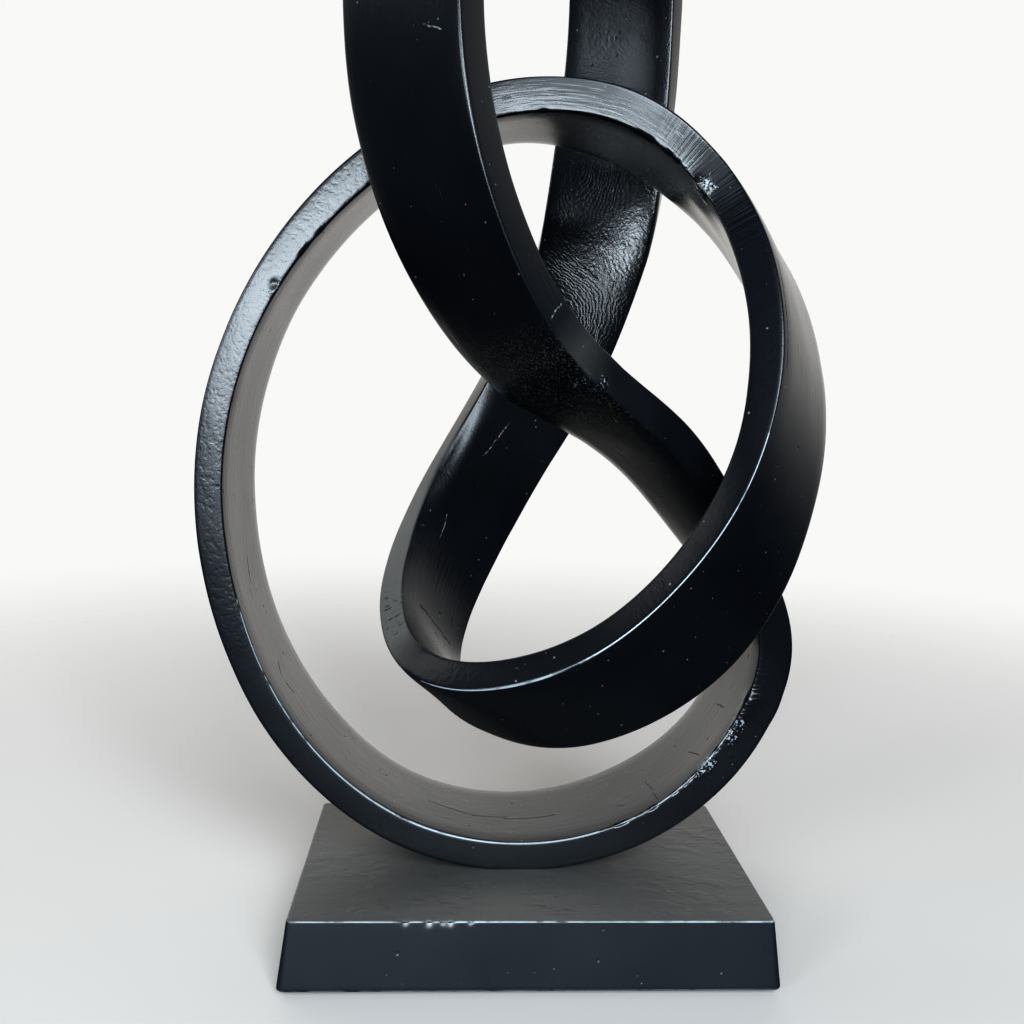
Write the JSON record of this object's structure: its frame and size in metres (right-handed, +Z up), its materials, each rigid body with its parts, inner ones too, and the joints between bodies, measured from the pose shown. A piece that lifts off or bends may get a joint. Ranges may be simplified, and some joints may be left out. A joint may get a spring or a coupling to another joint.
{
  "type": "metal knot sculpture",
  "caption": "Standing sculpture of a flat metal band tied in a closed knot, welded from castings, painted near black and screwed to a low cast block.",
  "frame": {"origin": "centre of the underside, the face that rests on the table", "axes": "+Z up, +X to the right of a viewer who faces the front, +Y away from that viewer"},
  "size_m": [0.1863, 0.1384, 0.3753],
  "materials": {
    "knot_paint": "satin",
    "weld_paint": "satin",
    "block_paint": "satin",
    "sheet_rubber": "matte",
    "screw_steel": "satin"
  },
  "bodies": {
    "root": {"block": "block_paint", "base_sheet": "sheet_rubber", "lower_ring": "knot_paint", "crossing_limb": "knot_paint", "inner_loop": "knot_paint", "upper_arch": "knot_paint", "front_weld": "weld_paint", "ring_weld": "weld_paint", "top_weld": "weld_paint", "back_weld": "weld_paint", "seat_screws": "screw_steel", "seat_washers": "screw_steel"}
  },
  "joints": []
}
